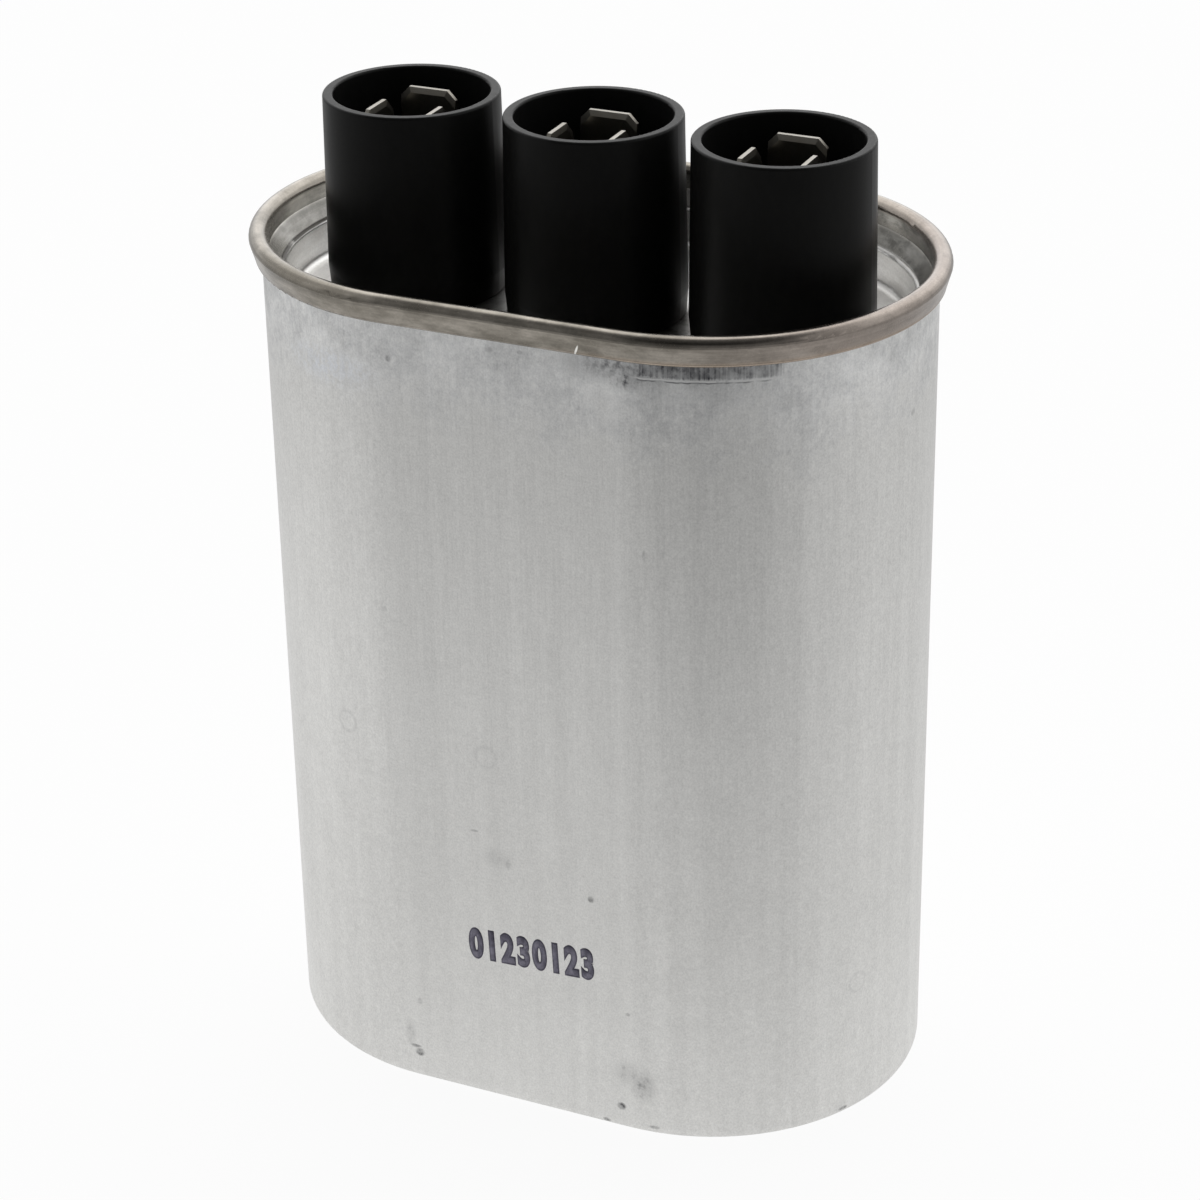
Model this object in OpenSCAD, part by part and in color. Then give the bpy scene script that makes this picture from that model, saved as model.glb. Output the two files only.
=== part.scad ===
// Dual high voltage capacitor: an oval aluminium can closed by a double-seamed lid,
// with three cup insulators on the lid and two wound sections inside.
// The origin is the centre of the can's base. X runs along the row of terminals, Z is up.

/* [Can] */
// Length of the can body
can_length = 72.5; // [70:0.5:84]
// Width of the can body, which is also the diameter of its round ends
can_width = 46.8; // [44:0.2:52]
// Height of the can to the top of its seam
can_height = 93.7; // [80:0.1:120]
// Thickness of the can's sheet
can_sheet = 0.4; // [0.3:0.05:0.5]
// Outside radius of the can's base edge
base_round = 1.2; // [0.8:0.1:2.5]

/* [Lid and seam] */
// Thickness of the lid's sheet
lid_sheet = 0.3; // [0.25:0.05:0.35]
// Height of the seam
seam_height = 3.15; // [2.8:0.05:3.8]
// Film of sealing compound between the folds of the seam
seam_film = 0.02; // [0.01:0.01:0.04]
// Inside radius of the can's folded edge
fold_round = 0.27; // [0.25:0.01:0.32]
// Gap between the two sheets of the lid's hem, under the seam
hem_gap = 0.12; // [0.08:0.01:0.16]
// Room left above the lid's turned-up edge, inside the can's fold
fold_room = 0.12; // [0.05:0.01:0.25]
// Depth of the lid's upright wall below the top of the seam
neck_depth = 2.6; // [2.4:0.1:3]
// Depth of the lid's ledge below the top of the seam
ledge_depth = 4.25; // [4:0.05:5]
// Distance from the upright wall in to the wall of the lid's dish
ledge_width = 1.73; // [1.5:0.01:2]
// Flat of the ledge, between its rounded edge and the cone above it
ledge_flat = 0.05; // [0.02:0.01:0.2]
// Inside radius of the bend at the ledge's edge
ledge_round = 0.08; // [0.05:0.01:0.15]
// Depth of the lid's floor below the top of the seam
lid_depth = 8.4; // [7.5:0.1:10]
// Inside radius of the bend round the lid's floor
floor_round = 0.8; // [0.4:0.1:1.2]

/* [Insulators] */
// Distance between neighbouring terminals
terminal_pitch = 20.8; // [20:0.1:21.4]
// Height of the insulators above the seam
tube_rise = 12.8; // [10:0.1:18]
// Outside diameter of an insulator at its mouth
mouth_d = 18.6; // [17.6:0.1:19]
// Outside diameter of an insulator at its parting line
parting_d = 19.15; // [18.6:0.05:19.6]
// Outside diameter of an insulator at its foot
foot_d = 18.75; // [18:0.05:19]
// Height of the parting line above the lid's floor
parting_rise = 2.5; // [1.5:0.1:4]
// Wall of the cup at its mouth
cup_wall = 1.1; // [0.9:0.05:1.6]
// Radius of the edges at the cup's mouth
mouth_round = 0.25; // [0.15:0.05:0.4]
// Bore of the cup at its floor
cup_floor_d = 16; // [15:0.1:16.2]
// Depth of the cup
cup_depth = 12.4; // [10:0.1:14]
// Thickness of the cup's floor
cup_floor = 2.5; // [1.5:0.1:3.5]
// Radius of the corner between the cup's wall and its floor
cup_round = 0.8; // [0.4:0.1:1.2]
// Wall of the skirt below the cup
skirt_wall = 1.4; // [1:0.1:2]
// Diameter of the boss under the cup's floor
boss_d = 11.2; // [9.6:0.1:12]
// Diameter of the spigot that passes through the lid
spigot_d = 6.4; // [5.4:0.1:7.4]
// Clearance of the spigot in the lid and the gasket, and of the skirt over the lid
fit = 0.1; // [0.05:0.01:0.2]

/* [Terminals] */
// Width of a blade
blade_width = 6.35; // [5.8:0.05:6.6]
// Thickness of a blade
blade_sheet = 0.8; // [0.5:0.05:0.9]
// Chamfer at the corners of the back blade's tip
back_chamfer = 0.95; // [0.5:0.05:1.5]
// Chamfer at the corners of the side blades' tips
side_chamfer = 1.35; // [0.5:0.05:1.6]
// Bevel that thins each face of a blade at its tip
tip_bevel = 0.17; // [0.05:0.01:0.2]
// Length of that bevel along the blade
tip_slope = 0.6; // [0.3:0.05:1]
// Tip of the back blade below the insulator's mouth
back_drop = 0.95; // [0.5:0.05:3]
// Tips of the side blades below the insulator's mouth
side_drop = 1.4; // [0.5:0.05:3]
// Distance of the back blade's middle from the terminal's axis
back_reach = 3.9; // [3.7:0.1:4.6]
// Distance of each side blade's middle from the terminal's axis
side_reach = 3.3; // [3.2:0.05:3.8]
// Distance of the side blades' middle in front of the terminal's axis
side_shift = 1.75; // [1.4:0.05:2]
// Inside radius of the bend at each blade's root
blade_round = 0.3; // [0.1:0.05:0.4]

/* [Rivets and seals] */
// Diameter of a rivet's shank
rivet_d = 2.8; // [2.2:0.1:3.2]
// Diameter of a rivet's head
rivet_head_d = 4.6; // [4:0.1:5]
// Height of a rivet's head
rivet_head = 0.8; // [0.5:0.1:1.2]
// Bore of a rivet's hollow end
rivet_bore = 1.4; // [1:0.1:1.6]
// Depth of a rivet's hollow end
rivet_hollow = 3; // [2:0.1:4]
// Diameter of a rivet's flared end
flare_d = 4.4; // [3.8:0.1:5]
// Thickness of a rivet's flared end
flare = 0.6; // [0.4:0.1:1]
// Clearance of a rivet in the pieces that it holds
rivet_fit = 0.05; // [0.02:0.01:0.1]
// Thickness of a gasket
gasket_height = 0.8; // [0.5:0.1:1.2]
// Diameter of a gasket
gasket_d = 12; // [10.5:0.1:13]
// Diameter of an insulating bush
bush_d = 12; // [10:0.1:14]
// Thickness of an insulating bush
bush_height = 1.5; // [1:0.1:2.5]

/* [Lugs and leads] */
// Thickness of a lug
lug_sheet = 0.5; // [0.3:0.05:0.8]
// Diameter of a lug's ring
lug_d = 7; // [6:0.1:9]
// Reach of a lug's back tail from the terminal's axis
tail_reach = 8.8; // [7.5:0.1:9.2]
// Edge of a lug's back tail beside its leads
tail_edge = 0.4; // [0.1:0.1:1]
// Reach of a lug's front ear from the terminal's axis
ear_reach = 6.5; // [6:0.1:8]
// Width of a lug's front ear
ear_width = 5; // [4.6:0.1:6]
// Distance of a resistor's wire from the middle of the ear
ear_offset = 1.4; // [1.2:0.05:1.5]
// Distance of the wire holes from the ear's edge
ear_edge = 1.3; // [1.1:0.1:1.6]
// Width of a tape lead
lead_width = 3.6; // [3:0.1:4]
// Thickness of a tape lead
lead_sheet = 0.3; // [0.2:0.05:0.4]
// Distance of a tape lead from the terminal's axis, along the row
lead_offset = 4.4; // [4.1:0.1:5]
// Length of a tape lead's flat end under the lug
lead_foot = 3; // [2:0.1:3.5]
// Inside radius of a tape lead's bend
lead_round = 0.3; // [0.2:0.05:0.5]
// Diameter of a resistor's body
resistor_d = 2.6; // [2:0.1:3]
// Length of a resistor's body
resistor_length = 8; // [6:0.5:10]
// Diameter of a resistor's wires
wire_d = 0.6; // [0.5:0.05:0.8]
// Radius of the bend in a resistor's wires
wire_round = 1.2; // [0.8:0.1:1.6]
// Clearance of a resistor's wire in its lug
wire_fit = 0.05; // [0.02:0.01:0.1]

/* [Windings and insulation] */
// Room between the top pad and the lugs
wiring_room = 8; // [6:0.5:14]
// Thickness of the pressboard pads
pad = 1; // [0.6:0.1:2]
// Thickness of the pressboard sleeve
sleeve_wall = 0.5; // [0.3:0.05:1]
// Height of the sleeve above the top pad
sleeve_rise = 3; // [1:0.5:5]
// Thickness of the pressboard divider
divider_sheet = 1; // [0.6:0.1:2]
// Clearance of the sleeve in the can, and of the rolls in the sleeve
roll_fit = 0.15; // [0.1:0.05:0.4]
// Width of a roll, across the can
roll_width = 39; // [36:0.5:40]
// Edge radius of a roll
roll_edge = 0.6; // [0.3:0.1:1]
// Length of the flat core at a roll's middle
core_length = 6; // [3:0.5:8]
// Width of the flat core at a roll's middle
core_width = 1.2; // [0.8:0.1:2]
// Clearance of a tape lead in the top pad
slot_fit = 0.3; // [0.2:0.05:0.5]

/* [Hidden] */
$fn = 96;
PLACES = ["left", "middle", "right"];
SIDES = ["left", "right"];
LEADS = ["left", "middle_left", "middle_right", "right"];
SETS = ["insulator", "terminal", "rivet", "gasket", "bush", "lug"];

// Plan of the can: two round ends, joined by straight sides
end_r = can_width / 2;
end_span = can_length - can_width;
inner_r = end_r - can_sheet;

// The seam's top bends share a centre, so that the lid lies round the can's edge
upright_r = inner_r - seam_film - lid_sheet;
lid_bend = fold_round + can_sheet + seam_film;
top_bend_r = end_r + fold_round;
top_bend_z = can_height - lid_bend - lid_sheet;
// Round hem below, from which the lid's turned-up edge stands along the can's wall
hem_r = lid_sheet + hem_gap / 2;
hook_r = end_r + seam_film;
hem_x = hook_r + hem_r;
hem_z = can_height - seam_height + hem_r;
// The outer folds lean in from the top bends to the hem. The can's fold ends at the turned-up edge
lean = (top_bend_r + lid_bend + lid_sheet - hem_x - hem_r) / (top_bend_z - hem_z);
fold_drop = (top_bend_r + fold_round - hook_r - lid_sheet - seam_film) / lean;

// Levels of the lid
neck_z = can_height - neck_depth;
ledge_z = can_height - ledge_depth;
floor_z = can_height - lid_depth;
under_lid_z = floor_z - lid_sheet;
dish_r = upright_r - ledge_width;
lid_hole_r = spigot_d / 2 + fit;

// Levels of an insulator and of what is riveted to it
mouth_z = can_height + tube_rise;
lip_z = mouth_z - mouth_round;
cup_z = mouth_z - cup_depth;
boss_z = floor_z + gasket_height;
plate_z = cup_z + blade_sheet;
bush_z = under_lid_z - bush_height;
lug_z = bush_z - lug_sheet;
rivet_hole_r = rivet_d / 2 + rivet_fit;
tail_width = 2 * lead_offset + lead_width + 2 * tail_edge;

// Levels and plan of the wound sections
roll_base = can_sheet + pad;
roll_top = lug_z - wiring_room - pad;
sleeve_r = inner_r - roll_fit;
// The sleeve stands on the round inside edge of the can's base
base_bend = base_round - can_sheet;
sleeve_z = base_round - sqrt(base_bend ^ 2 - (base_bend - roll_fit) ^ 2) + roll_fit;
nest_r = sleeve_r - sleeve_wall - roll_fit;
roll_inner_x = divider_sheet / 2;
// A roll is as thick as its place between the divider and the sleeve's round end
roll_outer_x = end_span / 2 + nest_r;
roll_r = roll_reach(roll_outer_x - roll_inner_x);
roll_x = roll_inner_x + roll_r;
roll_span = roll_width - 2 * roll_r;

// Radius of a roll's round ends that keeps their corners inside the sleeve's round end:
// it solves (r - d)^2 + (w - r)^2 = (n - r)^2, with d from the roll's flat to that end's centre
function roll_reach(place) =
    let (
        d = end_span / 2 - roll_inner_x,
        w = roll_width / 2,
        b = nest_r - d - w,
        c = d * d + w * w - nest_r * nest_r
    )
    min(place / 2, -b + sqrt(b * b - c));

function terminal_x(i) = (i - 1) * terminal_pitch;

// Sheet metal and section helpers

// Rectangle between two corners of a section
module run(from, to) {
    translate(from)
        square(to - from);
}

// Quarter bend of a sheet about a centre, turned to its place
module bend(centre, inner, sheet, turn) {
    translate(centre)
        rotate(turn)
            intersection() {
                difference() {
                    circle(inner + sheet);
                    circle(inner);
                }
                square(inner + sheet);
            }
}

// Sheet of the seam's outer folds, which leans in below a level. From is its inner corner there
module leaning(from, sheet, drop) {
    shift = [-lean * drop, -drop];
    across = [sheet, 0];
    polygon([from, from + across, from + across + shift, from + shift]);
}

// Quarter disc about a centre, turned to its place
module corner(centre, radius, turn) {
    translate(centre)
        rotate(turn)
            intersection() {
                circle(radius);
                square(radius);
            }
}

// Sweeps a section round an oval plan. The section's x is the distance from an end's centre
module oval_sweep(span) {
    for (side = [0, 1])
        mirror([side, 0, 0])
            translate([span / 2, 0, 0])
                rotate([0, 0, -90])
                    rotate_extrude(angle = 180)
                        children();
    for (side = [0, 1])
        mirror([0, side, 0])
            translate([-span / 2, 0, 0])
                rotate([90, 0, 90])
                    linear_extrude(span)
                        children();
}

// Oval plate of the can's plan, with round ends of a given radius
module oval(radius, height) {
    linear_extrude(height)
        oval_plan(radius, end_span);
}

module oval_plan(radius, span) {
    for (side = [-1, 1])
        translate([side * span / 2, 0])
            circle(radius);
    square([span, 2 * radius], center = true);
}

// Can and lid

module can() {
    color("silver")
        oval_sweep(end_span)
            can_section();
}

module can_section() {
    run([0, 0], [end_r - base_round, can_sheet]);
    bend([end_r - base_round, base_round], base_bend, can_sheet, -90);
    run([inner_r, base_round], [end_r, top_bend_z]);
    for (turn = [0, 90])
        bend([top_bend_r, top_bend_z], fold_round, can_sheet, turn);
    leaning([top_bend_r + fold_round, top_bend_z], can_sheet, fold_drop);
}

module lid() {
    color("tan")
        difference() {
            oval_sweep(end_span)
                lid_section();
            for (i = [0 : 2])
                translate([terminal_x(i), 0, under_lid_z - fit])
                    cylinder(r = lid_hole_r, h = lid_sheet + 2 * fit);
        }
}

module lid_section() {
    shoulder_r = dish_r + lid_sheet + ledge_round;
    shoulder_z = ledge_z - lid_sheet - ledge_round;
    run([0, under_lid_z], [dish_r - floor_round, floor_z]);
    bend([dish_r - floor_round, floor_z + floor_round], floor_round, lid_sheet, -90);
    run([dish_r, floor_z + floor_round], [dish_r + lid_sheet, shoulder_z]);
    bend([shoulder_r, shoulder_z], ledge_round, lid_sheet, 90);
    lid_step(shoulder_r, shoulder_r + ledge_flat);
    for (turn = [0, 90])
        bend([top_bend_r, top_bend_z], lid_bend, lid_sheet, turn);
    leaning([top_bend_r + lid_bend, top_bend_z], lid_sheet, top_bend_z - hem_z + hem_gap);
    translate([hem_x, hem_z])
        circle(hem_r);
    run([hook_r, hem_z], [hook_r + lid_sheet, top_bend_z - fold_room]);
}

// The lid's sheet from the ledge's edge over the foot of the cone and up to the seam's top bend
module lid_step(edge_r, foot_r) {
    slope = atan2(upright_r - foot_r, neck_z - ledge_z);
    foot_mitre = lid_sheet * tan((90 - slope) / 2);
    neck_mitre = lid_sheet * tan(slope / 2);
    polygon([
        [edge_r, ledge_z],
        [foot_r, ledge_z],
        [upright_r, neck_z],
        [upright_r, top_bend_z],
        [upright_r + lid_sheet, top_bend_z],
        [upright_r + lid_sheet, neck_z - neck_mitre],
        [foot_r + foot_mitre, ledge_z - lid_sheet],
        [edge_r, ledge_z - lid_sheet]
    ]);
}

// Terminals on the lid

module insulator(i) {
    color([0.08, 0.08, 0.08])
        translate([terminal_x(i), 0, 0])
            rotate_extrude()
                insulator_section();
}

// Half section of the cup above, and of the skirt, boss and spigot below it
module insulator_section() {
    parting_z = floor_z + parting_rise;
    skirt_z = floor_z + fit;
    skirt_r = foot_d / 2 - skirt_wall;
    web_z = cup_z - cup_floor;
    difference() {
        polygon([
            [0, lip_z],
            [0, under_lid_z],
            [spigot_d / 2, under_lid_z],
            [spigot_d / 2, boss_z],
            [boss_d / 2, boss_z],
            [boss_d / 2, web_z],
            [skirt_r, web_z],
            [skirt_r, skirt_z],
            [foot_d / 2, skirt_z],
            [parting_d / 2, parting_z],
            [mouth_d / 2, lip_z]
        ]);
        cup_section();
        run([0, under_lid_z - fit], [rivet_hole_r, cup_z + fit]);
    }
    lip_section();
}

// Rounded top of the cup's wall
module lip_section() {
    outer = mouth_d / 2 - mouth_round;
    inner = mouth_d / 2 - cup_wall + mouth_round;
    run([inner, lip_z], [outer, mouth_z]);
    corner([outer, lip_z], mouth_round, 0);
    corner([inner, lip_z], mouth_round, 90);
}

// Half section of the cup's hollow, with a rounded corner at its floor
module cup_section() {
    corner_r = cup_floor_d / 2 - cup_round;
    corner_z = cup_z + cup_round;
    polygon([
        [0, lip_z + fit],
        [0, corner_z],
        [cup_floor_d / 2, corner_z],
        [mouth_d / 2 - cup_wall, lip_z],
        [mouth_d / 2 - cup_wall, lip_z + fit]
    ]);
    run([0, cup_z], [corner_r, corner_z]);
    corner([corner_r, corner_z], cup_round, -90);
}

module terminal(i) {
    color("gainsboro")
        translate([terminal_x(i), 0, cup_z])
            difference() {
                union() {
                    terminal_plate();
                    blade(back_reach, 0, 90, cup_depth - back_drop, back_chamfer);
                    for (turn = [0, 180])
                        blade(side_reach, side_shift, turn, cup_depth - side_drop, side_chamfer);
                }
                translate([0, 0, -fit])
                    cylinder(r = rivet_hole_r, h = blade_sheet + 2 * fit);
            }
}

// Base plate of a terminal, up to the bends of its blades
module terminal_plate() {
    half = blade_width / 2;
    side = side_reach - blade_sheet / 2 - blade_round;
    back = back_reach - blade_sheet / 2 - blade_round;
    translate([-side, -side_shift - half, 0])
        cube([2 * side, side_shift + half + back, blade_sheet]);
}

// Blade with a bend at its root: reach is from the axis, turn points from the axis to the blade,
// and shift moves the blade to the front
module blade(reach, shift, turn, height, chamfer) {
    outer = blade_sheet + blade_round;
    face = reach - blade_sheet / 2;
    translate([0, -shift, 0])
        rotate([0, 0, turn])
            intersection() {
                translate([0, blade_width / 2, 0])
                    rotate([90, 0, 0])
                        linear_extrude(blade_width) {
                            bend([face - blade_round, outer], blade_round, blade_sheet, -90);
                            run([face, outer], [face + blade_sheet, height]);
                        }
                rotate([90, 0, 90])
                    linear_extrude(reach + blade_sheet)
                        blade_outline(height, chamfer);
                tip_limit(reach, 0, height);
                tip_limit(reach, 45, (blade_width / 2 + height - chamfer) * sin(45));
                tip_limit(reach, -45, (blade_width / 2 + height - chamfer) * sin(45));
            }
}

// Room that a blade keeps to, so that it thins towards one edge of its tip. The edge is at a
// distance from the blade's foot, in a direction that is tilted from upright
module tip_limit(reach, tilt, distance) {
    tip = blade_sheet / 2 - tip_bevel;
    flank = blade_sheet / 2 + tip_bevel;
    low = distance - 2 * tip_slope;
    far = 2 * cup_depth;
    translate([reach, 0, 0])
        rotate([90 + tilt, 0, 0])
            linear_extrude(2 * far, center = true)
                polygon([
                    [-far, -far],
                    [far, -far],
                    [far, low],
                    [flank, low],
                    [tip, distance],
                    [-tip, distance],
                    [-flank, low],
                    [-far, low]
                ]);
}

module blade_outline(height, chamfer) {
    half = blade_width / 2;
    polygon([
        [-half, 0],
        [half, 0],
        [half, height - chamfer],
        [half - chamfer, height],
        [chamfer - half, height],
        [-half, height - chamfer]
    ]);
}

module rivet(i) {
    flare_z = lug_z - flare;
    color("lightgray")
        translate([terminal_x(i), 0, 0])
            difference() {
                union() {
                    translate([0, 0, flare_z])
                        cylinder(d = rivet_d, h = plate_z - flare_z);
                    translate([0, 0, plate_z])
                        rivet_dome();
                    translate([0, 0, flare_z])
                        cylinder(d = flare_d, h = flare);
                }
                translate([0, 0, flare_z - flare])
                    cylinder(d = rivet_bore, h = flare + rivet_hollow);
            }
}

// Low domed head: a cap of the sphere that has the head's width and height
module rivet_dome() {
    half = rivet_head_d / 2;
    dome_r = (half * half + rivet_head * rivet_head) / (2 * rivet_head);
    intersection() {
        translate([0, 0, rivet_head - dome_r])
            sphere(dome_r);
        cylinder(r = half, h = rivet_head);
    }
}

module gasket(i) {
    color("dimgray")
        translate([terminal_x(i), 0, floor_z])
            washer(gasket_d / 2, lid_hole_r, gasket_height);
}

module bush(i) {
    color("wheat")
        translate([terminal_x(i), 0, bush_z])
            washer(bush_d / 2, rivet_hole_r, bush_height);
}

module washer(outer, hole, height) {
    linear_extrude(height)
        difference() {
            circle(outer);
            circle(hole);
        }
}

// Inner connections

module lug(i) {
    wire_y = ear_edge - ear_reach;
    color("silver")
        translate([terminal_x(i), 0, lug_z])
            linear_extrude(lug_sheet)
                difference() {
                    union() {
                        circle(d = lug_d);
                        run([-tail_width / 2, tail_reach - lead_foot], [tail_width / 2, tail_reach]);
                        run([-lug_d / 2, 0], [lug_d / 2, tail_reach]);
                        run([-ear_width / 2, -ear_reach], [ear_width / 2, 0]);
                    }
                    circle(rivet_hole_r);
                    for (side = [-1, 1])
                        translate([side * ear_offset, wire_y])
                            circle(wire_d / 2 + wire_fit);
                }
}

// Tape lead: it stands on its roll, passes the top pad and lies flat under a lug's tail
module lead(i, side) {
    outer = lead_sheet + lead_round;
    bend_y = tail_reach - outer;
    color("lightsteelblue")
        translate([lead_x(i, side) - lead_width / 2, 0, 0])
            rotate([90, 0, 90])
                linear_extrude(lead_width) {
                    run([tail_reach - lead_foot, lug_z - lead_sheet], [bend_y, lug_z]);
                    bend([bend_y, lug_z - outer], lead_round, lead_sheet, 0);
                    run([tail_reach - lead_sheet, roll_top], [tail_reach, lug_z - outer]);
                }
}

function lead_x(i, side) = terminal_x(i) + side * lead_offset;

// Discharge resistor between neighbouring lugs, with its wires bent up into their ears
module resistor(side) {
    half = terminal_pitch / 2 - ear_offset;
    axis_z = lug_z - wiring_room / 2;
    color("saddlebrown")
        translate([side * terminal_pitch / 2, ear_edge - ear_reach, axis_z]) {
            rotate([0, 90, 0])
                cylinder(d = resistor_d, h = resistor_length, center = true);
            for (turn = [0, 180])
                rotate([0, 0, turn])
                    resistor_wire(half, lug_z + lug_sheet - axis_z);
        }
}

module resistor_wire(reach, rise) {
    rotate([0, 90, 0])
        cylinder(d = wire_d, h = reach - wire_round);
    translate([reach - wire_round, 0, wire_round])
        rotate([90, 0, 0])
            rotate([0, 0, -90])
                rotate_extrude(angle = 90)
                    translate([wire_round, 0])
                        circle(d = wire_d);
    translate([reach, 0, wire_round])
        cylinder(d = wire_d, h = rise - wire_round);
}

// Wound sections and their insulation

// Flattened roll of film and foil, with rounded edges and the flat slot that its mandrel left
module winding(side) {
    color("khaki")
        translate([side * roll_x, 0, 0])
            rotate([0, 0, 90])
                difference() {
                    oval_sweep(roll_span)
                        winding_section();
                    translate([0, 0, roll_base - fit])
                        linear_extrude(roll_top - roll_base + 2 * fit)
                            oval_plan(core_width / 2, core_length);
                }
}

module winding_section() {
    edge_r = roll_r - roll_edge;
    run([0, roll_base], [edge_r, roll_top]);
    run([edge_r, roll_base + roll_edge], [roll_r, roll_top - roll_edge]);
    corner([edge_r, roll_top - roll_edge], roll_edge, 0);
    corner([edge_r, roll_base + roll_edge], roll_edge, -90);
}

module sleeve() {
    color("burlywood")
        translate([0, 0, sleeve_z])
            difference() {
                oval(sleeve_r, roll_top + pad + sleeve_rise - sleeve_z);
                translate([0, 0, -fit])
                    oval(sleeve_r - sleeve_wall, can_height);
            }
}

module divider() {
    color("peru")
        translate([-divider_sheet / 2, -nest_r, roll_base])
            cube([divider_sheet, 2 * nest_r, roll_top - roll_base]);
}

module bottom_pad() {
    color("tan")
        translate([0, 0, can_sheet])
            oval(min(nest_r, end_r - base_round), pad);
}

// Pad over the rolls, with a slot for each tape lead
module top_pad() {
    slot = [lead_width + 2 * slot_fit, lead_sheet + 2 * slot_fit];
    color("burlywood")
        translate([0, 0, roll_top])
            linear_extrude(pad)
                difference() {
                    oval_plan(nest_r, end_span);
                    for (x = [lead_x(0, 1), lead_x(1, -1), lead_x(1, 1), lead_x(2, -1)])
                        translate([x, tail_reach - lead_sheet / 2])
                            square(slot, center = true);
                }
}

can();
lid();
sleeve();
divider();
bottom_pad();
top_pad();
for (i = [0 : 2]) {
    insulator(i);
    terminal(i);
    rivet(i);
    gasket(i);
    bush(i);
    lug(i);
}
for (s = [0, 1]) {
    winding(2 * s - 1);
    resistor(2 * s - 1);
}
lead(0, 1);  // lead_left
lead(1, -1);  // lead_middle_left
lead(1, 1);  // lead_middle_right
lead(2, -1);  // lead_right
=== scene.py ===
# %% [markdown]
# # A capacitor with two sections in an oval can
#
# The real thing is a drawn aluminium can with a lid seamed on to it. Three black cups stand on
# the lid, and each holds a tinned terminal with three blades. All of its solids come ready made
# in one frame, so this lesson is about what they lack: the finish of each material, the ink
# stamp on the wall, the light and the camera.

# %% Load the frame
import math

import bpy
from mathutils import Matrix, Vector


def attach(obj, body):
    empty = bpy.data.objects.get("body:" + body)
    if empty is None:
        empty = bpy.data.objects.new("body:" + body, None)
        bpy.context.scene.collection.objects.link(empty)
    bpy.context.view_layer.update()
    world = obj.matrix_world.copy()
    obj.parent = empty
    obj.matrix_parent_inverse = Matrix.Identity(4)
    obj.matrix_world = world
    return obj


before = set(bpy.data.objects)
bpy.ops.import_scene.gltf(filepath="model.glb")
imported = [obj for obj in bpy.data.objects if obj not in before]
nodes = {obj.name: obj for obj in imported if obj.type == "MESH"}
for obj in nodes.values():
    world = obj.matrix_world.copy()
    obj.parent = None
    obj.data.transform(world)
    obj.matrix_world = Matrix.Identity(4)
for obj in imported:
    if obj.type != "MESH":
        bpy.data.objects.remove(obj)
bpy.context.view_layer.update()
MM = 0.001

# %% [markdown]
# ## The camera
#
# A camera can be placed by eye, but an oval can gives better clues: the two ovals of the rim and
# the base, and the mouths of the cups, fix the turn, the tilt, the distance and the lens. The
# values here were found that way. The picture is square, so the lens is given for its full width.

# %% Camera
TURN, TILT, ROLL = (math.radians(a) for a in (24.918, 26.547, -1.034))
CAMERA_PLACE = Vector((137.27, -296.06, 214.30)) * MM
LENS, SENSOR_WIDTH = 100.45, 36
CLIP_NEAR, CLIP_FAR = 0.01, 20

bpy.ops.object.select_all(action="DESELECT")
bpy.ops.object.camera_add()
camera = bpy.context.object
camera.name = "camera"
camera.data.lens = LENS
camera.data.sensor_width = SENSOR_WIDTH
camera.data.clip_start = CLIP_NEAR
camera.data.clip_end = CLIP_FAR
camera.matrix_world = (
    Matrix.Translation(CAMERA_PLACE)
    @ Matrix.Rotation(TURN, 4, "Z")
    @ Matrix.Rotation(math.pi / 2 - TILT, 4, "X")
    @ Matrix.Rotation(ROLL, 4, "Z")
)
bpy.context.scene.camera = camera
bpy.context.scene.view_settings.view_transform = "Standard"
print("camera at", [round(v / MM, 1) for v in camera.location], "mm, lens", camera.data.lens, "mm")

# %% [markdown]
# ## A small language for materials
#
# A finish is a sum of many faint layers: streaks, grain, stains, scratches. Placing every node by
# hand hides that sum. Here one class wraps a node's output, so that layers can be added and
# multiplied in plain Python, and one method adds any other node.

# %% The wire class
class Wire:
    """The output of a node. Sums and products of wires add Math nodes to its tree."""

    def __init__(self, tree, socket):
        self.tree = tree
        self.socket = socket

    def node(self, kind, settings, inputs, out=0):
        """Adds a node: its settings first, then the values or wires of its inputs."""
        made = self.tree.nodes.new(kind)
        for name, value in settings.items():
            setattr(made, name, value)
        for key, value in inputs.items():
            if isinstance(value, Wire):
                self.tree.links.new(value.socket, made.inputs[key])
            else:
                made.inputs[key].default_value = value
        return Wire(self.tree, made.outputs[out])

    def math(self, operation, *values):
        return self.node("ShaderNodeMath", {"operation": operation}, dict(enumerate(values)))

    def vector(self, operation, *values, out=0):
        return self.node("ShaderNodeVectorMath", {"operation": operation}, dict(enumerate(values)), out)

    def __add__(self, other):
        return self.math("ADD", self, other)

    def __sub__(self, other):
        return self.math("SUBTRACT", self, other)

    def __rsub__(self, other):
        return self.math("SUBTRACT", other, self)

    def __mul__(self, other):
        return self.math("MULTIPLY", self, other)

    def __truediv__(self, other):
        return self.math("DIVIDE", self, other)

    def __abs__(self):
        return self.math("ABSOLUTE", self)

    __radd__ = __add__
    __rmul__ = __mul__


def tree_of(owner):
    """Turns nodes on for a material or world and empties its tree."""
    owner.use_nodes = True
    owner.node_tree.nodes.clear()
    return owner.node_tree


print("wires can be added, taken away, multiplied and divided")

# %% [markdown]
# ## Layers that every finish uses
#
# All patterns read Object coordinates. Every piece sits at the origin, so these are places on the
# object, and they are turned into millimetres once. Noise that is squeezed along one axis gives
# drawn or brushed streaks. A spot is the distance from a place, divided by a size for each axis.

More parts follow.
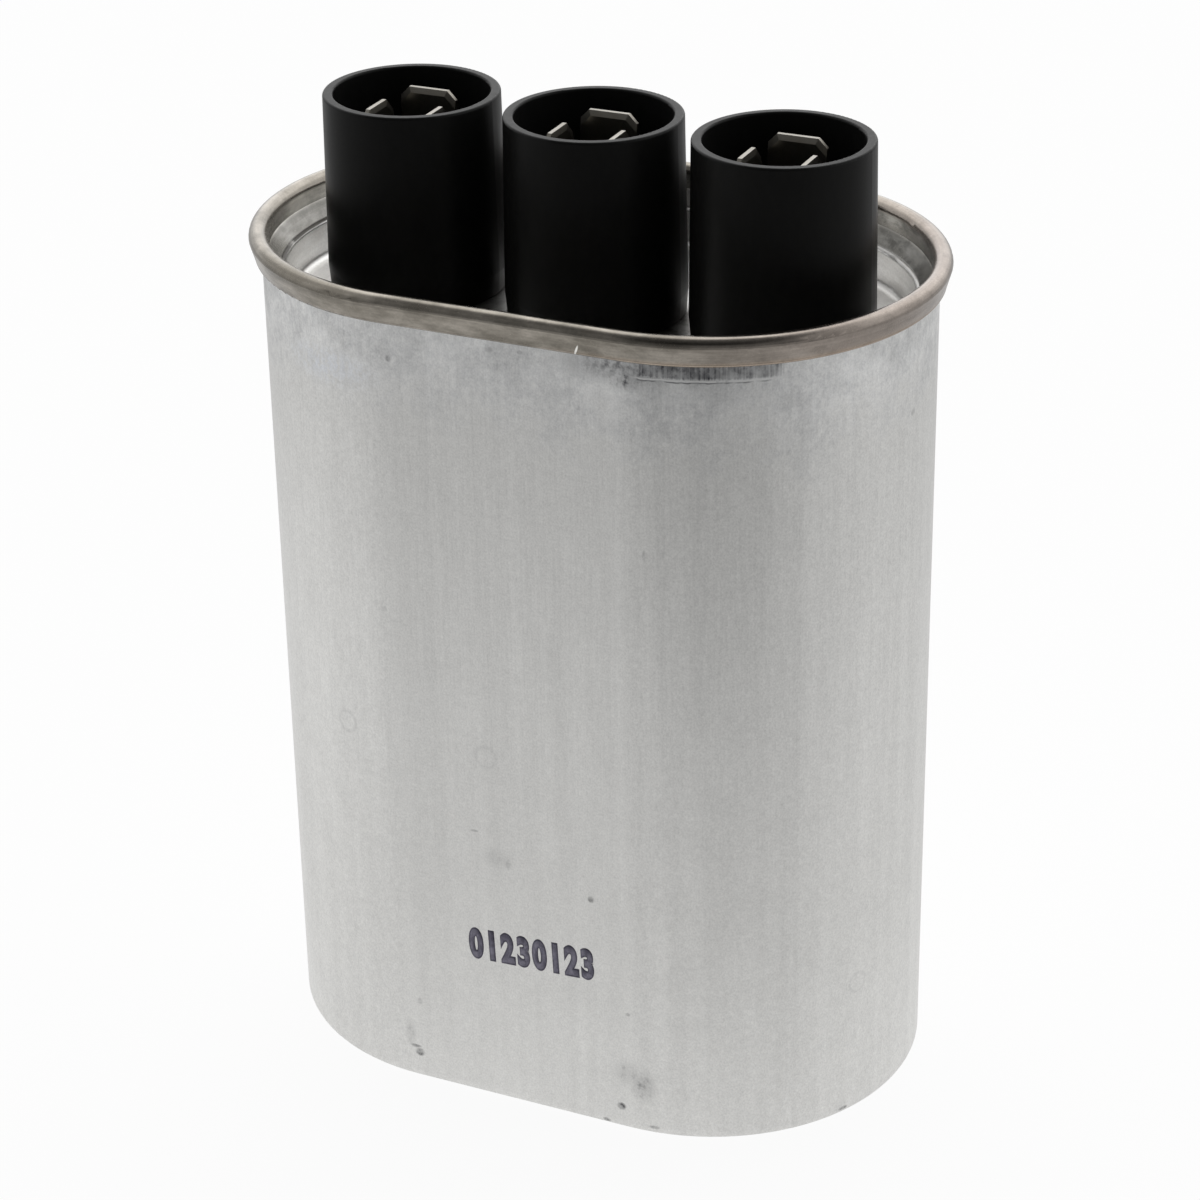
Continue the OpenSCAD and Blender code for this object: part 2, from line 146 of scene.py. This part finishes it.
# %% Layer helpers
def places(tree):
    """Object coordinates in millimetres."""
    coords = Wire(tree, None).node("ShaderNodeTexCoord", {}, {}, out=3)
    return coords.vector("MULTIPLY", coords, (1 / MM,) * 3)


def parts(vector):
    """The x, y and z of a vector."""
    made = vector.node("ShaderNodeSeparateXYZ", {}, {0: vector})
    split = made.socket.node
    return [Wire(vector.tree, split.outputs[i]) for i in range(3)]


def joined(x, y, z):
    """A vector from three values, of which one at least is a wire."""
    wire = next(v for v in (x, y, z) if isinstance(v, Wire))
    return wire.node("ShaderNodeCombineXYZ", {}, {0: x, 1: y, 2: z})


def noise(place, stretch, detail=2.0, rough=0.5, shift=0.0):
    """Noise from 0 to 1. Stretch is how many features there are in a millimetre of each axis."""
    moved = place.vector("MULTIPLY_ADD", place, stretch, (shift, shift, shift))
    return moved.node(
        "ShaderNodeTexNoise",
        {"noise_dimensions": "3D"},
        {"Vector": moved, "Scale": 1.0, "Detail": detail, "Roughness": rough},
    )


def step(value, low, high, top=1.0):
    """0 below low, top above high, and smooth between them. Low may be the larger one."""
    return value.node(
        "ShaderNodeMapRange",
        {"interpolation_type": "SMOOTHSTEP", "clamp": True},
        {"Value": value, "From Min": low, "From Max": high, "To Min": 0.0, "To Max": top},
    )


def between(value, rise, fall):
    """1 between two fades. Each fade is given by where it starts and where it ends."""
    return step(value, *rise) * (1.0 - step(value, *fall))


def limit(value, low, high):
    """A value kept from low to high."""
    return value.math("MAXIMUM", value.math("MINIMUM", value, high), low)


def most(*values):
    """The largest of some wires."""
    best = values[0]
    for value in values[1:]:
        best = best.math("MAXIMUM", best, value)
    return best


def mix(first, second, share):
    """A colour between two colours."""
    return share.node(
        "ShaderNodeMix", {"data_type": "RGBA"}, {0: share, 6: first, 7: second}, out=2
    )


def shade(colour, factor):
    """A colour times a number."""
    level = factor.node("ShaderNodeCombineColor", {}, {0: factor, 1: factor, 2: factor})
    return factor.node(
        "ShaderNodeMix",
        {"data_type": "RGBA", "blend_type": "MULTIPLY"},
        {0: 1.0, 6: colour, 7: level},
        out=2,
    )


def spot(place, centre, sizes, soft=0.6, strength=1.0):
    """A strength at a centre that fades to 0 at the edge of an egg of the given half sizes."""
    scale = tuple(1.0 / size for size in sizes)
    shift = tuple(-c / size for c, size in zip(centre, sizes))
    moved = place.vector("MULTIPLY_ADD", place, scale, shift)
    return step(moved.vector("LENGTH", moved, out=1), 1.0, 1.0 - soft, strength)


def ring(place, centre, radius, width):
    """1 on a circle round a centre, and 0 a width away from it."""
    reach = place.vector("DISTANCE", place, centre, out=1)
    return step(abs(reach - radius), width, 0.0)


def bump(height, depth):
    """A normal from a height of 0 to 1 that stands for a depth in millimetres."""
    return height.node(
        "ShaderNodeBump", {}, {"Strength": 1.0, "Distance": depth * MM, "Height": height}
    )


def finish(name):
    """A new material with one Principled shader, and the places on the object."""
    material = bpy.data.materials.new(name)
    tree = tree_of(material)
    shader = tree.nodes.new("ShaderNodeBsdfPrincipled")
    surface = tree.nodes.new("ShaderNodeOutputMaterial")
    tree.links.new(shader.outputs[0], surface.inputs[0])
    return material, shader, places(tree)


def feed(shader, **sockets):
    """Puts wires or plain values on the shader's sockets. A space in a name is written as _."""
    for name, value in sockets.items():
        socket = shader.inputs[name.replace("_", " ")]
        if isinstance(value, Wire):
            value.tree.links.new(value.socket, socket)
        else:
            socket.default_value = value


def wear(material, *names):
    """Gives a material to CAD nodes."""
    for name in names:
        slots = nodes[name].data.materials
        slots.clear()
        slots.append(material)


def grey(level):
    """A colour without a tint."""
    return (level, level, level, 1.0)


print("layer helpers are ready")

# %% [markdown]
# ## The can's wall
#
# The can is drawn from one slug of aluminium, which leaves fine upright streaks, and is then
# etched, which frosts them. Under the rim the tools of the seamer have clouded and scuffed it.
# The wall's plan is a straight run with a half circle at each end, so a mark is placed by its
# distance along the wall from the middle of the front and by its height. The foot of the can in
# the frame gives that plan's sizes in millimetres.

# %% Places on the wall
HALF_HEIGHT = 45.0
corners = [vertex.co / MM for vertex in nodes["can"].data.vertices]
foot = [corner for corner in corners if corner.z < HALF_HEIGHT]
END_RADIUS = max(corner.y for corner in foot)
HALF_RUN = max(corner.x for corner in foot) - END_RADIUS


def unrolled(place):
    """The wall laid flat: along it from the front's middle, towards +X, and up, in millimetres."""
    x, y, z = parts(place)
    straight = limit(x, -HALF_RUN, HALF_RUN)
    turn = x.math("ARCTAN2", x - straight, 0.0 - y)
    return joined(straight + END_RADIUS * turn, z, 0.0)


# Along the wall, height, half width, half height, strength
SPECKS = [
    (-12.3, 86.7, 0.4, 0.5, 0.5),
    (-1.0, 89.4, 0.7, 0.45, 0.3),
    (2.4, 89.6, 0.5, 0.3, 0.35),
    (15.4, 69.8, 0.25, 0.8, 0.3),
    (-14.2, 58.3, 0.5, 0.4, 0.2),
    (-4.6, 33.8, 0.7, 0.2, 0.3),
    (-0.7, 30.6, 0.5, 0.9, 0.25),
    (8.9, 28.5, 0.45, 0.5, 1.0),
    (-12.4, 3.6, 0.7, 0.65, 1.0),
    (-12.9, 4.3, 0.9, 0.3, 0.6),
    (-12.1, 10.4, 0.4, 0.6, 0.25),
    (12.1, 3.1, 0.65, 0.6, 0.9),
    (10.3, 0.8, 0.6, 0.4, 0.7),
    (15.9, 1.2, 0.8, 0.3, 0.5),
    (13.0, 15.1, 0.4, 0.3, 0.35),
    (37.5, 1.0, 0.8, 0.35, 0.8),
    (46.7, 80.6, 0.6, 0.5, 0.3),
]
# The same for smudges, which are a haze with darker lumps
SMUDGES = [
    (13.8, 88.6, 3.4, 1.7, 1.2),
    (27.4, 88.2, 0.7, 1.1, 0.5),
    (25.6, 87.8, 1.3, 1.2, 0.25),
    (-13.4, 6.0, 0.9, 2.6, 0.5),
    (14.6, 6.3, 2.0, 2.6, 0.75),
    (12.9, 7.6, 2.2, 2.2, 0.45),
    (-2.0, 31.0, 2.6, 1.8, 0.3),
]
# Along the wall, height, radius of faint drying rings
RINGS = [(-20.0, 43.3, 1.2), (-2.9, 43.1, 1.2), (39.3, 16.6, 1.15)]
print("half run and end radius of the wall in mm:", round(HALF_RUN, 3), round(END_RADIUS, 3))
print("marks on the wall:", len(SPECKS), "specks,", len(SMUDGES), "smudges,", len(RINGS), "rings")

# %% [markdown]
# ## Bare metal
#
# Each layer is noise round 0.5. With 0.5 taken away it is a little more or less than nothing, and
# times a share it is how much the layer lightens or darkens the metal. The streaks show most on
# the upper half, and the clouds under the rim turn the metal a little blue.

# %% Metal of the wall
METAL, METAL_BLUE = (0.772, 0.769, 0.752, 1.0), (0.725, 0.74, 0.765, 1.0)
DRAWN = (18.0, 62.0)
CLOUDED, CLOUD_REACH = (78.0, 88.0), 16.0
BLUE_CLOUD, BLUE_CLOUD_SIZE = (-20.0, 84.5, 0.0), (10.0, 3.2, 1.0)

can_metal, shader, place = finish("can_metal")
wall = unrolled(place)
along, z, _ = parts(wall)
streaks = noise(wall, (3.4, 0.10, 1.0), detail=2.0, rough=0.6)
bands = noise(wall, (0.5, 0.012, 1.0), detail=1.0, shift=7.0)
grain = noise(place, (5.0, 5.0, 4.0), detail=2.0, rough=0.7, shift=3.0)
frost = noise(place, (1.5, 1.5, 1.2), detail=3.0, rough=0.65, shift=8.0)
cloud = noise(place, (0.22, 0.22, 0.22), detail=3.0, rough=0.6, shift=11.0)
drawn = step(z, *DRAWN)
under_rim = step(z + (cloud - 0.5) * CLOUD_REACH, *CLOUDED)
blue_cloud = spot(wall, BLUE_CLOUD, BLUE_CLOUD_SIZE, soft=0.9) * step(frost, 0.3, 0.6)

tone = 1.0 + (streaks - 0.5) * (0.04 + 0.14 * drawn) + (bands - 0.5) * 0.13 + (grain - 0.5) * 0.5
tone = tone + (frost - 0.5) * (0.22 + 0.30 * under_rim) + (cloud - 0.5) * (0.10 - 0.80 * under_rim)
tint = most(under_rim * (1.0 - frost) * 0.6, blue_cloud)
bare = shade(mix(METAL, METAL_BLUE, tint), tone)
print("bare metal:", len(can_metal.node_tree.nodes), "shader nodes")

# %% [markdown]
# ## The scuff
#
# At the right of the front, dark upright scratches hang from the rim. They fray out to the left,
# with a haze below, and one long pale scratch with a dark side cuts them off. The same streaks and
# frost that colour the metal break up the scratches, so that they look worn into it.

# %% Scuff under the rim
SCUFF_FADES = (12.0, 17.0), (27.0, 31.0)
FRAY_FADES, FRAY_RISE = ((5.0, 12.0), (15.0, 20.5)), (87.2, 89.6)
HAZE_RISE = (85.0, 89.0)
SCRATCH_HEIGHT, SCRATCH_FADE, SCRATCH_WAVE = 88.9, 0.35, 0.35
SCRATCH_WIDTH, DARK_SIDE_WIDTH, DARK_SIDE_DROP = (0.13, 0.03), (0.12, 0.03), 0.17

under = between(along, *SCUFF_FADES)
thick = noise(wall, (0.55, 0.25, 1.0), detail=2.0, rough=0.6, shift=2.0)
ragged = step(under + (streaks - 0.5) * 0.7 + (thick - 0.5) * 1.0, 0.15, 0.85)
edge = step(z + (streaks - 0.5) * 0.5, SCRATCH_HEIGHT, SCRATCH_HEIGHT + SCRATCH_FADE)
dark = 0.24 + step(thick, 0.35, 0.65, 0.40) + step(streaks, 0.30, 0.70, 0.30)
upright_scratches = ragged * edge * dark * (0.6 + step(frost, 0.30, 0.65, 0.5))

fray = between(along, *FRAY_FADES) * step(z, *FRAY_RISE) * (0.20 + step(frost, 0.30, 0.75, 0.62))
haze = under * step(z, *HAZE_RISE) * (0.06 + step(frost, 0.45, 0.80, 0.24))

scratched = step(under + (thick - 0.5) * 1.2, 0.3, 0.8)
wave = z - SCRATCH_HEIGHT + (thick - 0.5) * SCRATCH_WAVE
pale_scratch = step(abs(wave), *SCRATCH_WIDTH) * scratched * step(frost, 0.25, 0.5, 0.75)
dark_side = step(abs(wave + DARK_SIDE_DROP), *DARK_SIDE_WIDTH) * scratched
dark_side = dark_side * (0.15 + step(thick, 0.35, 0.65, 0.6))
scuff = most(upright_scratches, fray, haze, dark_side)
print("with the scuff:", len(can_metal.node_tree.nodes), "shader nodes")

# %% [markdown]
# ## Specks, smudges and rings
#
# The largest of all the marks at a place is one mask, and one mix puts the dirt on the metal. The
# pale scratch comes last, because it cuts through the dirt.

# %% Can finish
DIRT, FRESH_CUT = (0.075, 0.076, 0.085, 1.0), (0.80, 0.80, 0.79, 1.0)
RING_WIDTH, RING_STRENGTH = 0.3, 0.09
WALL_BUMP = 0.008


def marked(table, soft):
    """The strongest of a table's marks at each place on the wall."""
    return most(*(
        spot(wall, (s, up, 0.0), (w, h, 1.0), soft, strength) for s, up, w, h, strength in table
    ))


specks = marked(SPECKS, soft=0.7) * (0.3 + step(frost, 0.3, 0.7, 0.9))
smudges = marked(SMUDGES, soft=0.9) * (0.20 + step(frost, 0.42, 0.80, 0.75))
rings = most(*(ring(wall, (s, up, 0.0), radius, RING_WIDTH) for s, up, radius in RINGS))
marks = most(scuff, specks, smudges, rings * RING_STRENGTH)

colour = mix(mix(bare, DIRT, marks), FRESH_CUT, pale_scratch)
rough = 0.44 + 0.10 * (1.0 - drawn) + (grain - 0.5) * 0.12 + marks * 0.1
feed(shader, Base_Color=colour, Roughness=rough, Metallic=1.0, Normal=bump(grain, WALL_BUMP))
wear(can_metal, "can")
print("can finish:", len(can_metal.node_tree.nodes), "shader nodes")

# %% [markdown]
# ## The lid and its seam
#
# The lid's edge is rolled round the can's edge, and the rollers have left it smoother and browner
# than the can, with streaks that run round the rim. Inside the rim a neck goes down, upright at
# first and then as a cone, to a dish of plain drawn sheet. Each zone is found from the height and
# from the distance across the wall's middle line, in millimetres.

# %% Zones of the lid
RIM_INSIDE, RIM_TOP = (22.95, 23.15), (92.4, 92.9)
NECK_BREAK = (90.9, 91.3)
DISH_EDGE = (21.5, 21.3)
# Where the painted shade on the neck goes from its light left to its dark right
PAINTED_SHADE_SPAN = (-25.0, 25.0)
ROUND_DRIFT = 0.02

lid_metal, shader, place = finish("lid_metal")
x, y, z = parts(place)
straight = limit(x, -HALF_RUN, HALF_RUN)
across = x.math("SQRT", (x - straight) * (x - straight) + y * y)
rim = most(step(across, *RIM_INSIDE), step(z, *RIM_TOP))
upper_neck = step(z, *NECK_BREAK)
dish = step(across, *DISH_EDGE)
painted_shade_to_right = step(x, *PAINTED_SHADE_SPAN)

section = joined(across, z, ROUND_DRIFT * (x + y))
rolled = noise(section, (3.0, 3.0, 1.0), detail=2.0, rough=0.6)
stain = noise(place, (0.16, 0.16, 0.5), detail=3.0, rough=0.65, shift=4.0)
speckle = noise(place, (4.0, 4.0, 4.0), detail=2.0, rough=0.7, shift=6.0)
grime = step(noise(place, (0.55, 0.55, 0.9), detail=3.0, rough=0.65, shift=2.0), 0.46, 0.66)
blotch = step(stain, 0.32, 0.68)
print("lid zones:", len(lid_metal.node_tree.nodes), "shader nodes")

# %% [markdown]
# ## Colours of the lid
#
# Each zone goes from a clean to a stained colour. The rim is pinker at the right end and golden
# low on the front. The neck has painted light and shade: it is lighter at the left and darker at the
# right.

# %% Lid colours
RIM, RIM_STAINED = (0.345, 0.317, 0.278, 1.0), (0.19, 0.174, 0.148, 1.0)
RIM_PINK, RIM_GOLD = (0.32, 0.272, 0.245, 1.0), (0.44, 0.35, 0.27, 1.0)
PINK_TO_RIGHT, GOLD_TO_RIGHT, GOLD_DOWN = (14.0, 34.0), (2.0, 20.0), (91.3, 90.7)
UPRIGHT, UPRIGHT_STAINED = (0.56, 0.545, 0.505, 1.0), (0.36, 0.345, 0.315, 1.0)
CONE, CONE_STAINED = (0.31, 0.303, 0.285, 1.0), (0.20, 0.194, 0.178, 1.0)
DISH, DISH_STAINED = (0.84, 0.835, 0.82, 1.0), (0.74, 0.73, 0.71, 1.0)

tan = mix(RIM, RIM_STAINED, blotch)
tan = mix(tan, RIM_PINK, step(x, *PINK_TO_RIGHT, 0.6))
tan = mix(tan, RIM_GOLD, step(z, *GOLD_DOWN) * step(x, *GOLD_TO_RIGHT, 0.6))
# Painted light and shade: the neck's upright and cone are lightened at the left and darkened at the
# right, and its grime darkens it more at the right
upright = shade(mix(UPRIGHT, UPRIGHT_STAINED, blotch), 1.7 - 0.8 * painted_shade_to_right)
cone = shade(mix(CONE, CONE_STAINED, blotch), 1.05 - 0.42 * painted_shade_to_right)
neck = shade(mix(cone, upright, upper_neck), 1.0 - grime * (0.15 + 0.25 * painted_shade_to_right))
frosted = mix(DISH, DISH_STAINED, blotch)
tone = 1.0 + (rolled - 0.5) * 0.55 * (1.0 - 0.7 * dish) + (speckle - 0.5) * 0.4 - 0.12 * rim * grime
clean = shade(mix(mix(neck, tan, rim), frosted, dish), tone)
print("lid colours:", len(lid_metal.node_tree.nodes), "shader nodes")

# %% [markdown]
# ## Dirt and painted shade on the lid
#
# Painted shade darkens the crease round the dish, less towards the right. Oil, and painted shade
# in the gaps between the cups, darken its floor, and one light nick leans across the seam.

# %% Lid finish
CREASE_RADIUS, CREASE_WIDTH, CREASE_WAVE = 21.24, (0.27, 0.15), 0.12
CREASE_FADE = (-5.0, 25.0)
# Colours of the painted shade in the crease, of oil with painted shade, and of a fresh nick
CREASE_SHADE, OIL_AND_SHADE_COLOUR, FRESH_NICK = (
    (0.045, 0.042, 0.038, 1.0),
    (0.05, 0.046, 0.04, 1.0),
    (0.85, 0.84, 0.80, 1.0),
)
LID_FLOOR = 85.3
# Oil and painted shade between the cups: x, y, strength
OIL_AND_SHADE = [(27.0, 13.0, 0.4), (10.4, -1.0, 1.0), (-10.4, -1.0, 0.7)]
OIL_AND_SHADE_SIZE = (6.0, 9.0, 2.0)
NICK_HEIGHT, NICK_LEAN = 91.15, 0.42
NICK, NICK_SIZE = (8.9, -24.4, NICK_HEIGHT), (0.15, 1.4, 0.75)
LID_BUMP = 0.008

# Painted shade: a dark line along the crease round the dish, weaker towards the right
off_crease = abs(across - CREASE_RADIUS + (stain - 0.5) * CREASE_WAVE)
crease_shade = step(off_crease, *CREASE_WIDTH) * (1.0 - step(x, *CREASE_FADE, 0.4))
colour = mix(clean, CREASE_SHADE, crease_shade * (0.6 + step(stain, 0.25, 0.45, 0.4)))
# Oil, and painted shade in the gaps between the cups, on the dish's floor
oil_and_shade = most(*(
    spot(place, (at_x, at_y, LID_FLOOR), OIL_AND_SHADE_SIZE, 0.7, strength) for at_x, at_y, strength in OIL_AND_SHADE
))
colour = mix(colour, OIL_AND_SHADE_COLOUR, oil_and_shade * (0.85 + 0.15 * grime))
leaning = joined(x - NICK_LEAN * (z - NICK_HEIGHT), y, z)
colour = mix(colour, FRESH_NICK, spot(leaning, NICK, NICK_SIZE, soft=0.5))
rough = 0.24 + 0.09 * dish + (speckle - 0.5) * 0.12 + (stain - 0.5) * 0.12
feed(shader, Base_Color=colour, Roughness=rough, Metallic=1.0, Normal=bump(rolled, LID_BUMP))
wear(lid_metal, "lid")
print("lid finish:", len(lid_metal.node_tree.nodes), "shader nodes")

# %% [markdown]
# ## The black cups
#
# The cups are moulded in a black thermoset. It is nearly black, and its sheen comes from a skin
# that is smooth but not polished.

# %% Moulding finish
PLACES = ("left", "middle", "right")
BLACK, BLACK_WORN = (0.0048, 0.0048, 0.0047, 1.0), (0.0088, 0.0088, 0.0084, 1.0)
SHEEN, CUP_BUMP = 0.09, 0.006

moulding, shader, place = finish("black_moulding")
skin = noise(place, (1.2, 1.2, 0.5), detail=3.0, rough=0.6)
grit = noise(place, (7.0, 7.0, 7.0), detail=1.0, shift=3.0)
colour = mix(BLACK, BLACK_WORN, skin)
rough = 0.36 + (skin - 0.5) * 0.12 + (grit - 0.5) * 0.06
feed(
    shader,
    Base_Color=colour,
    Roughness=rough,
    Specular_IOR_Level=SHEEN,
    Normal=bump(grit, CUP_BUMP),
)
wear(moulding, *(f"insulator_{p}" for p in PLACES))
print("moulding finish:", len(moulding.node_tree.nodes), "shader nodes")

# %% [markdown]
# ## Tinned terminals
#
# The blades and the rivets are brass with a thin coat of tin. The tin is dull and grey, and a
# little of the brass shows through as a yellow tint.

# %% Tin finish
TIN, TIN_WORN = (0.31, 0.297, 0.27, 1.0), (0.23, 0.21, 0.172, 1.0)

tin, shader, place = finish("tinned_brass")
patch = noise(place, (0.6, 0.6, 0.6), detail=3.0, rough=0.6)
brushed = noise(place, (6.0, 6.0, 0.6), detail=2.0, shift=2.0)
colour = mix(TIN, TIN_WORN, patch)
rough = 0.31 + (brushed - 0.5) * 0.06 + (patch - 0.5) * 0.08
feed(shader, Base_Color=colour, Roughness=rough, Metallic=1.0)
wear(tin, *(f"{kind}_{p}" for kind in ("terminal", "rivet") for p in PLACES))
print("tin finish:", len(tin.node_tree.nodes), "shader nodes")

# %% [markdown]
# ## What is inside
#
# Nothing inside shows while the can is closed, but each piece still has the finish of what it is:
# brown pressboard, pale film rolls, rubber, fibre board and tinned copper.

# %% Inner finishes
FIBRE_BUMP = 0.01
# Name, two colours, roughness, metallic, noise in a millimetre of each axis, nodes
INNER = [
    ("seal_rubber", (0.020, 0.020, 0.021), (0.030, 0.030, 0.031), 0.7, 0.0, (2.0, 2.0, 2.0),
     [f"gasket_{p}" for p in PLACES]),
    ("bush_board", (0.30, 0.17, 0.09), (0.38, 0.23, 0.13), 0.6, 0.0, (0.5, 4.0, 4.0),
     [f"bush_{p}" for p in PLACES]),
    ("tinned_copper", (0.74, 0.72, 0.68), (0.66, 0.58, 0.50), 0.3, 1.0, (1.0, 1.0, 4.0),
     [f"lug_{p}" for p in PLACES]
     + ["lead_left", "lead_middle_left", "lead_middle_right", "lead_right"]),
    ("film_roll", (0.62, 0.60, 0.55), (0.70, 0.69, 0.66), 0.35, 0.0, (3.0, 3.0, 0.05),
     ["winding_left", "winding_right"]),
    ("pressboard", (0.42, 0.31, 0.19), (0.50, 0.38, 0.24), 0.8, 0.0, (1.5, 1.5, 0.4),
     ["sleeve", "divider", "bottom_pad", "top_pad"]),
    ("resistor_coat", (0.36, 0.25, 0.15), (0.42, 0.30, 0.19), 0.45, 0.0, (1.5, 1.5, 1.5),
     ["resistor_left", "resistor_right"]),
]
for name, first, second, rough, metallic, stretch, wearers in INNER:
    material, shader, place = finish(name)
    fibre = noise(place, stretch, detail=3.0, rough=0.6)
    feed(
        shader,
        Base_Color=mix((*first, 1.0), (*second, 1.0), fibre),
        Roughness=rough + (fibre - 0.5) * 0.15,
        Metallic=metallic,
        Normal=bump(fibre, FIBRE_BUMP),
    )
    wear(material, *wearers)
    print(name, "on", len(wearers), "nodes")

# %% [markdown]
# ## The ink stamp
#
# Eight plain digits stand low on the front, a little askew. A rubber stamp squeezes its ink to
# the edges of each stroke, so the stamp is made twice: bold and dark, and thinner and paler just
# above that. Each is a text that is made a mesh and thickened to a film.

# %% Stamp
STAMP_DIGITS = "01230123"
STAMP_PLACE = Vector((1.75, -END_RADIUS, 19.8)) * MM
STAMP_SCALE = Vector((3.05, 4.7, 1.0)) * MM
STAMP_RISE = math.radians(2.6)
# How many times the font's own pitch the digits are apart
STAMP_SPACING = 1.24
# Name, spread of the strokes, film in mm, dark and light ink
INKS = [
    ("stamp_edge", 0.070, 0.012, (0.090, 0.084, 0.122, 1.0), (0.155, 0.146, 0.200, 1.0)),
    ("stamp_core", 0.028, 0.020, (0.170, 0.160, 0.215, 1.0), (0.300, 0.286, 0.360, 1.0)),
]


def stamp(name, spread, film):
    """Digits on the front, with strokes that are spread by a share of their size."""
    bpy.ops.object.select_all(action="DESELECT")
    bpy.ops.object.text_add()
    text = bpy.context.object.data
    text.body = STAMP_DIGITS
    text.align_x = "CENTER"
    text.align_y = "CENTER"
    text.space_character = STAMP_SPACING
    text.offset = spread
    bpy.ops.object.convert(target="MESH")
    piece = bpy.context.object
    piece.name = name
    bpy.ops.object.modifier_add(type="SOLIDIFY")
    solidify = piece.modifiers[-1]
    solidify.thickness = film
    solidify.offset = 1.0
    bpy.ops.object.modifier_apply(modifier=solidify.name)
    piece.matrix_world = (
        Matrix.Translation(STAMP_PLACE)
        @ Matrix.Rotation(math.pi / 2, 4, "X")
        @ Matrix.Rotation(STAMP_RISE, 4, "Z")
        @ Matrix.Diagonal((*STAMP_SCALE, 1.0))
    )
    bpy.ops.object.transform_apply(location=True, rotation=True, scale=True)
    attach(piece, "root")
    print(name, len(piece.data.polygons), "faces")
    return piece


for name, spread, film, dark_ink, light_ink in INKS:
    ink, shader, place = finish(name + "_ink")
    patchy = noise(place, (1.6, 1.6, 1.1), detail=3.0, rough=0.6)
    colour = mix(dark_ink, light_ink, step(patchy, 0.35, 0.65))
    feed(shader, Base_Color=colour, Roughness=0.5, Specular_IOR_Level=0.3)
    stamp(name, spread, film).data.materials.append(ink)

# %% [markdown]
# ## The floor
#
# The object stands on a pale floor. Frosted metal is mostly what it mirrors, and the wall of the
# can mirrors the floor round it. So the floor's light falls off away from a pool, and most on the
# viewer's side: that gives the wall its slow change from a light foot and light edges to a darker
# front. The camera sees plain white, with the object's soft shadow kept in it.

# %% Floor
FLOOR_SIZE = 6
VIEWER_SIDE = (0.31, -0.95, 0.0)
LIGHT_POOL, POOL_FADE, POOL_FALL = (-45.0, 10.0, 0.0), (30.0, 260.0), 0.36
FRONT_TURN, FRONT_FADE, FRONT_FALL = (0.45, 1.0), (15.0, 230.0), 0.47
PAPER_WHITE = 0.9
GLOW_SHARE, MORE_FOR_CAMERA = 0.9, 0.04

bpy.ops.object.select_all(action="DESELECT")
bpy.ops.mesh.primitive_plane_add(size=FLOOR_SIZE)
floor = bpy.context.object
floor.name = "floor"

paper = bpy.data.materials.new("floor_paper")
tree = tree_of(paper)
place = places(tree)
away = place.vector("LENGTH", place, out=1)
facing = place.vector("DOT_PRODUCT", place, VIEWER_SIDE, out=1) / (away + 1.0)
from_pool = place.vector("DISTANCE", place, LIGHT_POOL, out=1)
fall = 1.0 - step(from_pool, *POOL_FADE, POOL_FALL)
front = 1.0 - step(facing, *FRONT_TURN, FRONT_FALL) * step(away, *FRONT_FADE)
lit = mix(grey(0.0), grey(1.0), fall * front)
print("floor", [round(v, 2) for v in floor.dimensions], "m")

# %% [markdown]
# ## What the floor shows
#
# Rays from the camera, mirrors and glass see the floor glow by itself, so that the lights don't
# change its white. All other rays see matt paper, which keeps its light at a plain level.

# %% Floor finish
rays = Wire(tree, None).node("ShaderNodeLightPath", {}, {})
by_camera, by_mirror, by_glass = (
    Wire(tree, rays.socket.node.outputs[n])
    for n in ("Is Camera Ray", "Is Glossy Ray", "Is Transmission Ray")
)
shown = most(by_camera, by_mirror, by_glass)
paper_colour = mix(lit, grey(1.0), by_camera)
glow = shown.node("ShaderNodeEmission", {}, {"Color": paper_colour, "Strength": 1.0})
matt = shown.node("ShaderNodeBsdfDiffuse", {}, {"Color": grey(PAPER_WHITE)})
share = GLOW_SHARE * shown + MORE_FOR_CAMERA * by_camera
both = shown.node("ShaderNodeMixShader", {}, {0: share, 1: matt, 2: glow})
surface = tree.nodes.new("ShaderNodeOutputMaterial")
tree.links.new(both.socket, surface.inputs[0])
floor.data.materials.append(paper)
print("floor finish:", len(tree.nodes), "shader nodes")

# %% [markdown]
# ## The room
#
# The room is white and darkest on the viewer's side. A bright patch high at the back lights the
# edges of the cups and blades, and a dark patch over the viewer draws the dark line along the
# seam.

# %% World
UP_BACK, WINDOW_FADE, WINDOW_GAIN = (-0.22, 0.67, 0.71), (0.60, 0.92), 0.9
UP_FRONT, CEILING_FADE, CEILING_LOSS = (0.13, -0.40, 0.91), (0.65, 0.90), 0.85
VIEWER_FADE, VIEWER_LOSS = (0.0, 0.8), 0.8

world = bpy.data.worlds.new("room")
bpy.context.scene.world = world
tree = tree_of(world)
look = Wire(tree, None).node("ShaderNodeTexCoord", {}, {}, out=0)
window = step(look.vector("DOT_PRODUCT", look, UP_BACK, out=1), *WINDOW_FADE, WINDOW_GAIN)
ceiling = step(look.vector("DOT_PRODUCT", look, UP_FRONT, out=1), *CEILING_FADE, CEILING_LOSS)
viewer = step(look.vector("DOT_PRODUCT", look, VIEWER_SIDE, out=1), *VIEWER_FADE, VIEWER_LOSS)
level = (1.0 + window) * (1.0 - viewer) * (1.0 - ceiling)
light = level.node("ShaderNodeBackground", {}, {"Color": grey(1.0), "Strength": level})
surface = tree.nodes.new("ShaderNodeOutputWorld")
tree.links.new(light.socket, surface.inputs[0])
print("room light:", len(tree.nodes), "shader nodes")
